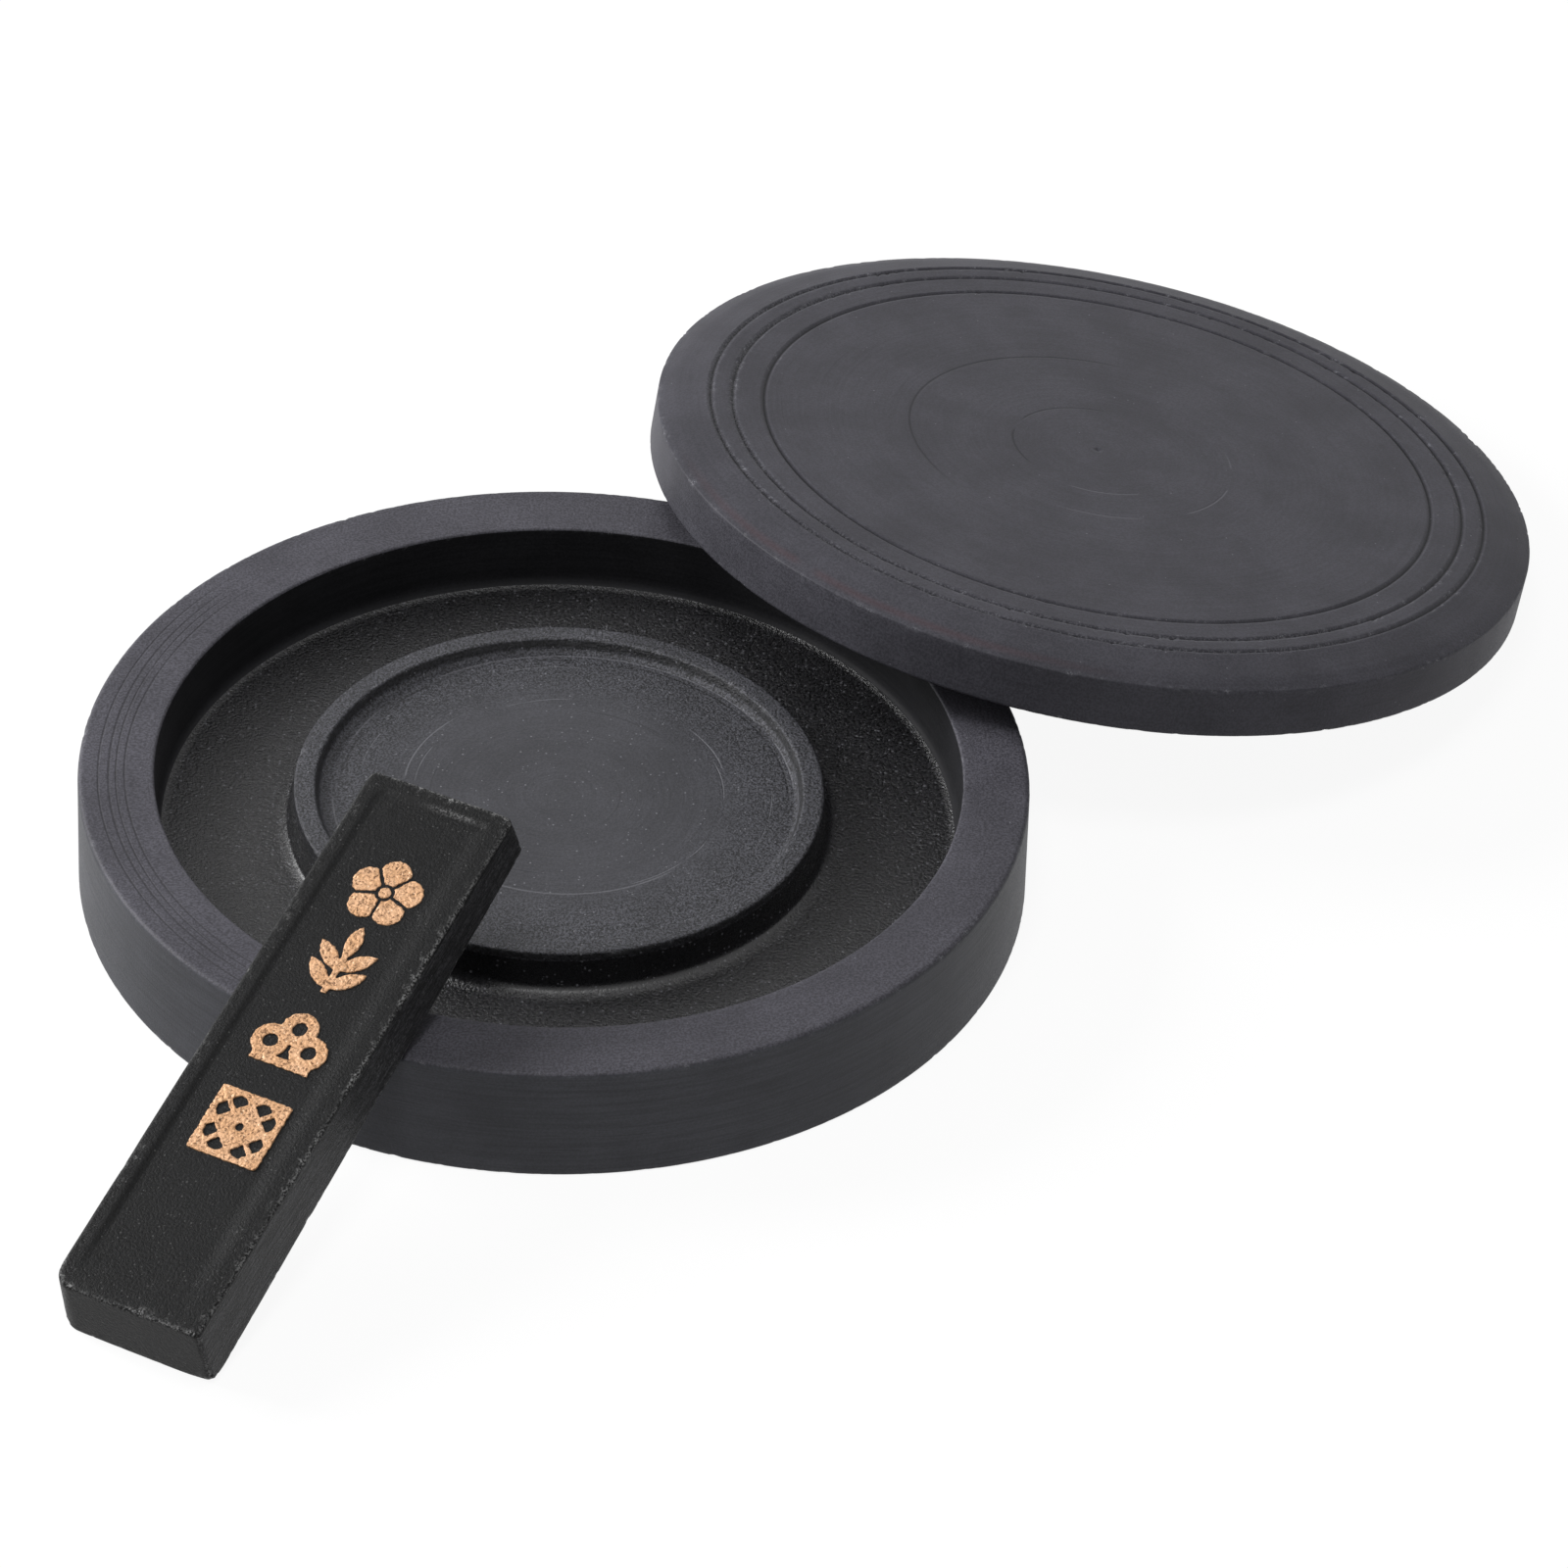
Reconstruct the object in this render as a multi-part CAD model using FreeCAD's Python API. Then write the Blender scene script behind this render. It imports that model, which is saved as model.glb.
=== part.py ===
import FreeCAD, Part
import math
import os
from FreeCAD import Rotation, Vector

# A round ink stone and its ink stick, in millimetres.
# The turned dish stands on its underside, its lid is off and leans on the rim with one edge on the table, and the
# ink stick lies across the rim with its foot on the table.
# The origin is the centre of the dish's underside, +Z is up and the front is -Y.

# The dish's outside
rim_radius = 64.0
dish_height = 16.7
foot_flare = 0.4
ring_width = 9.6
rim_round = 0.7
foot_round = 0.5
mouth_round = 0.4

# The dish's hollow, which is turned a little to one side of the rim
hollow_offset = 0.6
moat_depth = 9.6
moat_width = 18.6
wall_fillet = 1.6
plateau_fillet = 2.0
plateau_batter = 0.6
lip_drop = 3.4
lip_width = 2.8
lip_round = 0.4
disc_sink = 1.8
disc_batter = 0.8
disc_fillet = 0.8

# The lid
lid_side_height = 7.3
lid_crown = 2.0
lid_edge_round = 0.3
lid_foot_round = 0.5
border_width = 7.3
border_knee_inset = 2.2
border_knee_drop = 1.05
border_knee_round = 9.0
groove_insets = [border_width, 10.5, 15.1]
groove_width = 0.8
groove_depth = 0.4
centre_mark_radius = 0.6
centre_mark_depth = 0.3
boss_height = 2.4
boss_clearance = 1.0
boss_round = 0.5
boss_root_fillet = 0.4

# The ink stick, whose top face is level and whose underside rises towards the tip
stick_length = 83.5
stick_width = 20.9
foot_thickness = 10.0
tip_thickness = 6.4
side_draft = 0.064
stick_round = 0.7
panel_border = 2.0
panel_ramp = 0.7
panel_depth = 0.4
panel_corner = 1.6

# The gold motifs, placed along the stick from its foot to their centres
gold_height = 0.3
gold_corner = 0.5
blossom_place = 66.9
blossom_petals = 5
blossom_petal_radius = 2.15
blossom_petal_ring = 2.95
blossom_heart_radius = 0.85
blossom_gap = 0.45
spray_place = 54.4
spray_stem_length = 8.2
spray_stem_width = 0.8
spray_leaf_length = 5.4
spray_leaf_width = 2.1
spray_leaf_angle = 48.0
spray_pairs = 2
spray_pair_pitch = 2.9
cloud_place = 42.9
cloud_lobe_radius = 2.5
cloud_lobe_spread = 2.75
cloud_eye_radius = 1.0
cloud_foot_drop = 3.9
cloud_foot_length = 8.4
cloud_foot_width = 1.3
plaque_place = 28.6
plaque_side = 10.0
plaque_rim = 0.9
trellis_lines = 3
trellis_pitch = 2.4
trellis_bar = 0.7
plaque_lobe_radius = 1.15
plaque_lobe_ring = 1.45
plaque_eye_radius = 0.55

# How the loose pieces lie
rest_gap = 0.15
table_gap = 0.02
lid_bearing = 45.2
lid_lean = 10.45
stick_heading = 65.2
stick_lean = 20.0
stick_side_offset = 1.4

# Sizes that follow
mouth_radius = rim_radius - ring_width
lip_radius = mouth_radius - moat_width
disc_radius = lip_radius - lip_width
moat_level = dish_height - moat_depth
lip_level = dish_height - lip_drop
disc_level = lip_level - disc_sink
lid_radius = rim_radius
lid_thickness = lid_side_height + lid_crown
boss_radius = mouth_radius - boss_clearance
underside_rise = (foot_thickness - tip_thickness) / stick_length

X_AXIS = Vector(1, 0, 0)
Y_AXIS = Vector(0, 1, 0)
Z_AXIS = Vector(0, 0, 1)
ORIGIN = Vector(0, 0, 0)


def flat(a, b):
    """A point of an outline drawn in plan."""
    return Vector(a, b, 0)


def upright(a, b):
    """A point of an outline drawn as radius and height."""
    return Vector(a, 0, b)


def outline(corners, place):
    """A closed wire through the corners (a, b, radius), with each radius above 0 as a tangent arc."""
    starts = []
    middles = []
    ends = []
    count = len(corners)
    for index, (a, b, radius) in enumerate(corners):
        here = Vector(a, b, 0)
        starts.append(here)
        middles.append(None)
        ends.append(here)
        if radius > 0:
            before = Vector(*corners[index - 1][:2], 0) - here
            after = Vector(*corners[(index + 1) % count][:2], 0) - here
            half_angle = before.getAngle(after) / 2
            reach = radius / math.tan(half_angle)
            inward = (before.normalize() + after.normalize()).normalize()
            starts[index] = here + before * reach
            ends[index] = here + after * reach
            middles[index] = here + inward * (radius / math.sin(half_angle) - radius)
    edges = []
    for index in range(count):
        start = place(starts[index].x, starts[index].y)
        end = place(ends[index].x, ends[index].y)
        if middles[index] is not None:
            middle = place(middles[index].x, middles[index].y)
            edges.append(Part.Arc(start, middle, end).toShape())
        following = starts[(index + 1) % count]
        edges.append(Part.makeLine(end, place(following.x, following.y)))
    return Part.Wire(edges)


def turned(corners, axis_offset=0.0):
    """The solid swept by an outline of radius and height about an upright axis at x = axis_offset."""
    solid = Part.Face(outline(corners, upright)).revolve(ORIGIN, Z_AXIS, 360)
    solid.translate(Vector(axis_offset, 0, 0))
    return solid


def plate(corners, height):
    """A flat plate with the plan outline, from z = 0 up to the height."""
    return Part.Face(outline(corners, flat)).extrude(Vector(0, 0, height))


def rectangle(x_low, x_high, half_width, radius):
    """The corners of a rectangle about the X axis, all with one corner radius."""
    return [
        (x_low, -half_width, radius),
        (x_high, -half_width, radius),
        (x_high, half_width, radius),
        (x_low, half_width, radius),
    ]


def build_ink_dish():
    """The dish: a turned blank less its hollow, which leaves the lip and the sunk disc standing in the moat."""
    foot_radius = rim_radius + foot_flare
    blank = turned([
        (0, 0, 0),
        (foot_radius, 0, foot_round),
        (rim_radius, dish_height, rim_round),
        (0, dish_height, 0),
    ])
    above_rim = dish_height + 1
    hollow = turned([
        (0, disc_level, 0),
        (disc_radius - disc_batter, disc_level, disc_fillet),
        (disc_radius, lip_level, lip_round),
        (lip_radius, lip_level, lip_round),
        (lip_radius + plateau_batter, moat_level, plateau_fillet),
        (mouth_radius, moat_level, wall_fillet),
        (mouth_radius, above_rim, 0),
        (0, above_rim, 0),
    ], hollow_offset)
    dish = blank.cut(hollow)
    mouth_edges = []
    for edge in dish.Edges:
        is_round = isinstance(edge.Curve, Part.Circle)
        if is_round and abs(edge.Curve.Radius - mouth_radius) < 0.001 and edge.CenterOfMass.z > lip_level:
            mouth_edges.append(edge)
    return dish.makeFillet(mouth_round, mouth_edges)


def build_dish_lid():
    """The lid as turned, with its flat underside at z = 0 and the locating boss below it."""
    top = lid_thickness
    corners = [
        (0, -boss_height, 0),
        (boss_radius, -boss_height, boss_round),
        (boss_radius, 0, boss_root_fillet),
        (lid_radius, 0, lid_foot_round),
        (lid_radius, lid_side_height, lid_edge_round),
        (lid_radius - border_knee_inset, top - border_knee_drop, border_knee_round),
    ]
    for inset in groove_insets:
        radius = lid_radius - inset
        corners.append((radius + groove_width / 2, top, 0))
        corners.append((radius, top - groove_depth, 0))
        corners.append((radius - groove_width / 2, top, 0))
    corners.append((centre_mark_radius, top, 0))
    corners.append((0, top - centre_mark_depth, 0))
    return turned(corners)


def build_ink_stick():
    """The stick with its foot's top edge at x = 0, its tip towards +X and its top face at z = 0."""
    depth = foot_thickness + 1
    spread = side_draft * depth
    half_width = stick_width / 2
    top_wire = outline(rectangle(0, stick_length, half_width, 0), flat)
    low_wire = outline(rectangle(-spread, stick_length + spread, half_width + spread, 0), flat)
    low_wire.translate(Vector(0, 0, -depth))
    bar = Part.makeLoft([top_wire, low_wire], True, True)
    low_end = -spread - 1
    high_end = stick_length + spread + 1
    side_view = outline([
        (low_end, 1, 0),
        (low_end, underside_rise * low_end - foot_thickness, 0),
        (high_end, underside_rise * high_end - foot_thickness, 0),
        (high_end, 1, 0),
    ], upright)
    side_view.translate(Vector(0, -stick_width, 0))
    bar = bar.common(Part.Face(side_view).extrude(Vector(0, 2 * stick_width, 0)))
    bar = bar.makeFillet(stick_round, bar.Edges)
    mouth = rectangle(panel_border, stick_length - panel_border, half_width - panel_border, panel_corner)
    inset = panel_border + panel_ramp
    floor = rectangle(inset, stick_length - inset, half_width - inset, panel_corner - panel_ramp)
    mouth_wire = outline(mouth, flat)
    floor_wire = outline(floor, flat)
    floor_wire.translate(Vector(0, 0, -panel_depth))
    return bar.cut(Part.makeLoft([mouth_wire, floor_wire], True, True))


def disc(x, y, radius):
    """A round plate of gold at a place on the panel."""
    return Part.makeCylinder(radius, gold_height, Vector(x, y, 0))


def strip(x, y, length, width, angle):
    """A straight square-ended plate of gold, centred at a place and turned from the X axis."""
    piece = Part.makeBox(length, width, gold_height, Vector(-length / 2, -width / 2, 0))
    piece.rotate(ORIGIN, Z_AXIS, angle)
    piece.translate(Vector(x, y, 0))
    return piece


def ring_of_discs(count, ring_radius, radius, first_angle):
    """Discs evenly spaced on a circle."""
    discs = []
    for index in range(count):
        angle = math.radians(first_angle + index * 360 / count)
        discs.append(disc(ring_radius * math.cos(angle), ring_radius * math.sin(angle), radius))
    return discs


def build_gold_blossom():
    """Round petals about a small heart, each parted from the next by a narrow gap."""
    petals = ring_of_discs(blossom_petals, blossom_petal_ring, blossom_petal_radius, 0)
    flower = petals[0].multiFuse(petals[1:])
    flower = flower.cut(disc(0, 0, blossom_heart_radius + blossom_gap))
    slot_length = 2 * (blossom_petal_ring + blossom_petal_radius)
    for index in range(blossom_petals):
        angle = math.radians((index + 0.5) * 360 / blossom_petals)
        x = math.cos(angle) * slot_length / 2
        y = math.sin(angle) * slot_length / 2
        flower = flower.cut(strip(x, y, slot_length, blossom_gap, math.degrees(angle)))
    return flower.Solids + [disc(0, 0, blossom_heart_radius)]


def leaf(root, angle):
    """A pointed leaf between two arcs, from a point of the stem."""
    tip = Vector(spray_leaf_length, 0, 0)
    upper = Part.Arc(ORIGIN, Vector(spray_leaf_length / 2, spray_leaf_width / 2, 0), tip).toShape()
    lower = Part.Arc(tip, Vector(spray_leaf_length / 2, -spray_leaf_width / 2, 0), ORIGIN).toShape()
    blade = Part.Face(Part.Wire([upper, lower])).extrude(Vector(0, 0, gold_height))
    blade.rotate(ORIGIN, Z_AXIS, angle)
    blade.translate(Vector(root, 0, 0))
    return blade


def build_gold_leaf_spray():
    """A stem with leaves in pairs and one at its end, all one relief."""
    stem_start = -spray_stem_length / 2
    stem = strip(0, 0, spray_stem_length, spray_stem_width, 0)
    leaves = [leaf(stem_start + spray_stem_length - spray_leaf_length / 2, 0)]
    for pair in range(spray_pairs):
        root = stem_start + spray_stem_width + pair * spray_pair_pitch
        leaves.append(leaf(root, spray_leaf_angle))
        leaves.append(leaf(root, -spray_leaf_angle))
    return stem.multiFuse(leaves).removeSplitter().Solids


def build_gold_cloud():
    """Three pierced lobes over a short foot, as one rolling cloud."""
    places = [(cloud_lobe_spread / 2, 0), (-cloud_lobe_spread / 2, cloud_lobe_spread)]
    places.append((-cloud_lobe_spread / 2, -cloud_lobe_spread))
    lobes = [disc(x, y, cloud_lobe_radius) for x, y in places]
    cloud = lobes[0].multiFuse(lobes[1:])
    for x, y in places:
        cloud = cloud.cut(disc(x, y, cloud_eye_radius))
    foot = strip(-cloud_foot_drop, 0, cloud_foot_length, cloud_foot_width, 90)
    return cloud.fuse(foot).removeSplitter().Solids


def build_gold_square_plaque():
    """A square plate pierced as a diagonal trellis inside a plain rim, with a four-lobed flower at its centre."""
    half = plaque_side / 2
    field_half = half - plaque_rim
    openings = plate(rectangle(-field_half, field_half, field_half, 0), gold_height)
    for line in range(-trellis_lines, trellis_lines + 1):
        offset = line * trellis_pitch / math.sqrt(2)
        openings = openings.cut(strip(offset, -offset, 2 * plaque_side, trellis_bar, 45))
        openings = openings.cut(strip(offset, offset, 2 * plaque_side, trellis_bar, -45))
    plaque = plate(rectangle(-half, half, half, gold_corner), gold_height).cut(openings)
    lobes = ring_of_discs(4, plaque_lobe_ring, plaque_lobe_radius, 0)
    plaque = plaque.multiFuse(lobes).cut(disc(0, 0, plaque_eye_radius))
    return plaque.removeSplitter().Solids


def settle(shape, bearing):
    """Turn a leaning shape to its bearing and lift it until its lowest point is just clear of the table."""
    shape.rotate(ORIGIN, Z_AXIS, bearing)
    lift = table_gap - shape.optimalBoundingBox(False, False).ZMin
    shape.translate(Vector(0, 0, lift))
    return lift


def reach_to_rim(plane_height, lean):
    """How far out from the dish's axis a leaning plane must start to pass just over the rim's rounded edge.

    The plane rises towards the dish at the lean angle. Its height is where it would cross its starting point.
    """
    angle = math.radians(lean)
    across = (rim_radius - rim_round) * math.sin(angle)
    up = (dish_height - rim_round - plane_height) * math.cos(angle)
    return (across + up + rim_round + rest_gap) / math.sin(angle)


def lean_lid(lid):
    """Lean the lid: its far lower edge on the table and its boss on the dish's rim."""
    lid.rotate(ORIGIN, Y_AXIS, lid_lean)
    lift = settle(lid, lid_bearing)
    boss_face_height = lift - boss_height / math.cos(math.radians(lid_lean))
    reach = reach_to_rim(boss_face_height, lid_lean)
    away = Rotation(Z_AXIS, lid_bearing).multVec(X_AXIS)
    lid.translate(away * reach)
    return lid


def lean_stick(pieces):
    """Lean the stick, which is the first piece, and carry what is on it with it."""
    wedge = math.degrees(math.atan(underside_rise))
    pitch = stick_lean - wedge
    for piece in pieces:
        piece.rotate(ORIGIN, Y_AXIS, -pitch)
    stick = pieces[0]
    lift = settle(stick, stick_heading)
    for piece in pieces[1:]:
        piece.rotate(ORIGIN, Z_AXIS, stick_heading)
        piece.translate(Vector(0, 0, lift))
    underside_height = lift - foot_thickness * math.cos(math.radians(wedge)) / math.cos(math.radians(stick_lean))
    reach = reach_to_rim(underside_height, stick_lean)
    turn = Rotation(Z_AXIS, stick_heading)
    place = turn.multVec(Vector(-reach, -stick_side_offset, 0))
    for piece in pieces:
        piece.translate(place)


def seat_on_panel(solids, place):
    """Gold relief as one compound on the panel's floor, centred across the stick."""
    relief = Part.Compound(solids)
    relief.translate(Vector(place, 0, -panel_depth))
    return relief


def main():
    """Build every piece where it lies and write one file for each."""
    nodes = {
        "ink_dish": build_ink_dish(),
        "dish_lid": lean_lid(build_dish_lid()),
        "ink_stick": build_ink_stick(),
        "gold_blossom": seat_on_panel(build_gold_blossom(), blossom_place),
        "gold_leaf_spray": seat_on_panel(build_gold_leaf_spray(), spray_place),
        "gold_cloud": seat_on_panel(build_gold_cloud(), cloud_place),
        "gold_square_plaque": seat_on_panel(build_gold_square_plaque(), plaque_place),
    }
    gold_names = [name for name in nodes if name.startswith("gold_")]
    lean_stick([nodes["ink_stick"]] + [nodes[name] for name in gold_names])
    os.makedirs("parts", exist_ok=True)
    for name, shape in nodes.items():
        shape.exportStep("parts/" + name + ".step")
        print(name, len(shape.Solids), "solids", round(shape.Volume, 1), "mm3 valid", shape.isValid())


main()
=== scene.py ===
import math

import bmesh
import bpy
from bpy.props import FloatProperty, FloatVectorProperty, IntProperty, PointerProperty
from bpy.types import Operator, Panel, PropertyGroup
from mathutils import Matrix, Vector, noise


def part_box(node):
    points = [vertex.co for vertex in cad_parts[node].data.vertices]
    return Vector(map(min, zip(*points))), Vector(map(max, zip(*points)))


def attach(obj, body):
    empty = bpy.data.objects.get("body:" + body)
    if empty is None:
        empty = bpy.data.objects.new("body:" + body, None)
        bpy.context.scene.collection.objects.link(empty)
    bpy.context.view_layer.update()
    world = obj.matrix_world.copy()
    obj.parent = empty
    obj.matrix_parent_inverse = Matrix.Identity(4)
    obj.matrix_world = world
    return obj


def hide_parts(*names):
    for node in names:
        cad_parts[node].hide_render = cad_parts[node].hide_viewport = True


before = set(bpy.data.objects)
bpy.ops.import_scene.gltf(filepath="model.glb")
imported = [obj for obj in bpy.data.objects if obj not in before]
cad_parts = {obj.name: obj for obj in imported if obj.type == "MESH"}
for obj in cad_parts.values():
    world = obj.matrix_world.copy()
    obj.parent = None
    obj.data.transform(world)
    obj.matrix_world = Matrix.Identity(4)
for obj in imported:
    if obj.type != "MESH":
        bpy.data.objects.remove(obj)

bl_info = {
    "name": "Ink Stone and Ink Stick",
    "version": (1, 0, 0),
    "blender": (4, 5, 0),
    "location": "View3D > Sidebar > Ink Stone",
    "description": "Turns a stone ink dish and its lid, moulds a gilded ink stick and sets the stage",
    "category": "Add Mesh",
}

MM = 0.001
UP = Vector((0, 0, 1))
MERGE_REACH = 0.001 * MM


def size_prop(name, description, millimetres):
    """A length that the sidebar shows in the scene's units."""
    return FloatProperty(name=name, description=description, default=millimetres * MM, min=0,
                         subtype="DISTANCE", unit="LENGTH")


def share_prop(name, description, default):
    """A share between none and all."""
    return FloatProperty(name=name, description=description, default=default, min=0, max=1,
                         subtype="FACTOR")


def colour_prop(name, description, default):
    """A colour in linear light."""
    return FloatVectorProperty(name=name, description=description, default=default, min=0, max=1,
                               subtype="COLOR")


def angle_prop(name, description, degrees):
    """An angle that the sidebar shows in degrees."""
    return FloatProperty(name=name, description=description, default=math.radians(degrees),
                         subtype="ANGLE")


def power_prop(name, description, watts):
    """A lamp's power."""
    return FloatProperty(name=name, description=description, default=watts, unit="POWER")


class DishSizes(PropertyGroup):
    rim_radius: size_prop("Rim radius", "Outside radius at the top of the dish", 64.0)
    height: size_prop("Height", "From the table to the top of the rim", 16.7)
    foot_flare: size_prop("Foot flare", "How much wider the foot is than the rim", 0.4)
    mouth_radius: size_prop("Mouth radius", "Radius of the hollow at the top", 54.4)
    hollow_offset: size_prop("Hollow offset", "How far the hollow's axis stands beside the rim's", 0.6)
    moat_level: size_prop("Moat level", "Height of the moat's floor", 7.1)
    lip_radius: size_prop("Lip radius", "Outside radius of the lip round the grinding disc", 35.8)
    lip_level: size_prop("Lip level", "Height of the lip", 13.3)
    disc_radius: size_prop("Disc radius", "Radius of the sunk grinding disc", 33.0)
    disc_level: size_prop("Disc level", "Height of the grinding disc", 11.5)


class LidSizes(PropertyGroup):
    radius: size_prop("Radius", "Outside radius of the lid", 64.0)
    thickness: size_prop("Thickness", "From the underside to the top", 9.3)
    side_height: size_prop("Side height", "Height of the upright side", 7.3)
    border_width: size_prop("Border width", "Width of the sloping border", 7.3)
    boss_radius: size_prop("Boss radius", "Radius of the locating boss underneath", 53.4)
    boss_height: size_prop("Boss height", "How far the boss stands below the underside", 2.4)
    groove_width: size_prop("Groove width", "Width of each turned groove", 0.8)
    groove_depth: size_prop("Groove depth", "Depth of each turned groove", 0.4)
    lean: angle_prop("Lean", "Tilt of the lid", 10.45)
    bearing: angle_prop("Bearing", "Way the lid leans, from +X", 45.2)


class StickSizes(PropertyGroup):
    length: size_prop("Length", "From the foot's top edge to the tip's", 83.5)
    width: size_prop("Width", "Width of the top face", 20.9)
    foot_thickness: size_prop("Foot thickness", "Thickness at the foot", 10.0)
    tip_thickness: size_prop("Tip thickness", "Thickness at the tip", 6.4)
    panel_border: size_prop("Panel border", "Width of the border round the sunk panel", 2.0)
    panel_ramp: size_prop("Panel ramp", "Width of the slope down to the panel", 0.7)
    panel_depth: size_prop("Panel depth", "How far the panel is sunk", 0.4)
    lean: angle_prop("Lean", "Slope of the underside", 20.0)
    heading: angle_prop("Heading", "Way the tip points, from +X", 65.2)


class Finish(PropertyGroup):
    stone: colour_prop("Stone", "Colour of the dish's ring", (0.066, 0.064, 0.0765))
    # Painted shade: the lid's stone is a darker copy of the dish's, for the lid leaning away from the key
    # light.
    shaded_lid_stone: colour_prop("Lid stone", "Colour of the lid", (0.056, 0.0548, 0.0655))
    disc_stone: colour_prop("Disc stone", "Colour of the grinding disc", (0.047, 0.0472, 0.0545))
    wall: colour_prop("Dish wall", "Colour of the dish's outer wall", (0.053, 0.054, 0.062))
    moat: colour_prop("Moat", "Colour of the stone in the moat", (0.014, 0.0138, 0.0155))
    bore: colour_prop("Bore", "Colour of the smooth wall round the moat", (0.018, 0.018, 0.020))
    bare_stone: colour_prop("Bare stone", "Colour where the stone is chipped or rubbed", (0.20, 0.20, 0.22))
    stain: colour_prop("Stain", "Colour of the faint reddish stain on the lid's edge", (0.085, 0.035, 0.037))
    ink: colour_prop("Ink", "Colour of the moulded ink", (0.0032, 0.0032, 0.0034))
    # Bare ink is also the colour of the painted highlight on the panel's slope at the tip end.
    bare_ink: colour_prop("Bare ink", "Colour where the ink is chipped or rubbed", (0.30, 0.30, 0.30))
    gold: colour_prop("Gold", "Colour of the gold paint", (0.60, 0.335, 0.17))
    light_gold: colour_prop("Light gold", "Colour of the paint's lighter patches", (0.66, 0.39, 0.22))
    # Painted glints: bright grains of colour that stand in for the gold powder's sparkle.
    painted_gold_glint: colour_prop("Gold glints", "Colour of the paint's bright grains", (0.95, 0.72, 0.5))
    gold_pit: colour_prop("Gold pits", "Colour in the paint's pits", (0.16, 0.075, 0.03))
    chip_depth: size_prop("Chip depth", "Depth of the largest chips along the stone's edges", 0.35)
    grain: share_prop("Grain", "Strength of the stone's grain", 0.5)
    around: IntProperty(name="Steps around", description="Steps of the turned pieces", default=640,
                        min=60, max=720)


class Stage(PropertyGroup):
    daylight: share_prop("Daylight", "Light from all round", 0.20)
    key_power: power_prop("Key light", "Power of the large lamp at the left", 12.0)
    top_power: power_prop("Top light", "Power of the lamp overhead", 2.8)
    floor_glow: share_prop("Floor glow", "Light that the floor sends up to the pieces", 0.33)
    lens: FloatProperty(name="Lens", description="Focal length in millimetres", default=135.0,
                        unit="CAMERA")


# Meshes

def make_mesh(name, bm):
    """A mesh made from a bmesh, which is then freed."""
    mesh = bpy.data.meshes.new(name)
    bm.to_mesh(mesh)
    bm.free()
    return mesh


def add_object(name, data):
    """A new object in the scene."""
    made = bpy.data.objects.new(name, data)
    bpy.context.scene.collection.objects.link(made)
    return made


def move(bm, matrix):
    """Turn and shift a whole mesh by a matrix."""
    bmesh.ops.transform(bm, matrix=matrix, verts=bm.verts[:])


def new_piece():
    """An empty mesh with what the materials read: each point's place on the piece before it is leaned, in
    millimetres, how far it is chipped or rubbed, which on the stick also holds a painted highlight, and how
    deep it lies in a groove."""
    bm = bmesh.new()
    bm.verts.layers.float_vector.new("place")
    bm.verts.layers.float.new("wear_and_highlight")
    bm.verts.layers.float.new("crevice")
    return bm


def finish_piece(bm, name, body, materials, replaced):
    """Make the object, smooth it, and tell the frame what it is."""
    mesh = make_mesh(name, bm)
    mesh.shade_smooth()
    for material in materials:
        mesh.materials.append(material)
    piece = add_object(name, mesh)
    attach(piece, body)
    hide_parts(replaced)


def lay_on(bm, turn_matrix, node):
    """Where a piece that is turned by the matrix has to go to fill the node's box."""
    spots = [turn_matrix @ vert.co for vert in bm.verts]
    lows = Vector([min(spot[axis] for spot in spots) for axis in range(3)])
    highs = Vector([max(spot[axis] for spot in spots) for axis in range(3)])
    low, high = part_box(node)
    return Matrix.Translation((low + high) / 2 - (lows + highs) / 2) @ turn_matrix


def ragged(place, size, seed):
    """Smooth noise between about -1 and 1 whose lumps have the size. Each seed gives its own lumps."""
    return noise.noise(place / size + Vector((seed, 0.37 * seed, -0.71 * seed)))


def smooth(low, high, value):
    """0 below the low value and 1 above the high one, with a smooth rise between."""
    part = min(1, max(0, (value - low) / (high - low)))
    return part * part * (3 - 2 * part)


# Turned pieces

# An outline's mesh is fine for the edge zone beside each corner, and wide between the zones.
EDGE_ZONE = 0.9 * MM
SHORT_RUN = 0.6 * MM
FINE_SPACING = 0.3 * MM
MIDDLE_SPACING = 1.5 * FINE_SPACING
WIDE_SPACING = 2.6 * MM
ROUND_SEGMENTS = 5
SECTORS = 20

# Chips are small nicks that come in patches along an edge.
PATCH_SIZE = 9 * MM
NICK_SIZE = 0.8 * MM


def split_run(edge, zone):
    """Cut a straight run a zone's length from each end. Returns its two end parts and its middle part."""
    first, second = edge.verts
    near, near_cut = bmesh.utils.edge_split(edge, first, zone / edge.calc_length())
    rest = edge if near_cut in edge.verts and second in edge.verts else near
    end = near if rest is edge else edge
    far, far_cut = bmesh.utils.edge_split(rest, second, zone / rest.calc_length())
    parts = {end, rest, far}
    inner = [part for part in parts if near_cut in part.verts and far_cut in part.verts]
    return [part for part in parts if part not in inner], inner


def space_out(bm, edges, spacing):
    """Divide each run evenly so that no part is longer than the spacing."""
    for edge in edges:
        cuts = math.ceil(edge.calc_length() / spacing - 0.001) - 1
        if cuts > 0:
            bmesh.ops.subdivide_edges(bm, edges=[edge], cuts=cuts)


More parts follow.
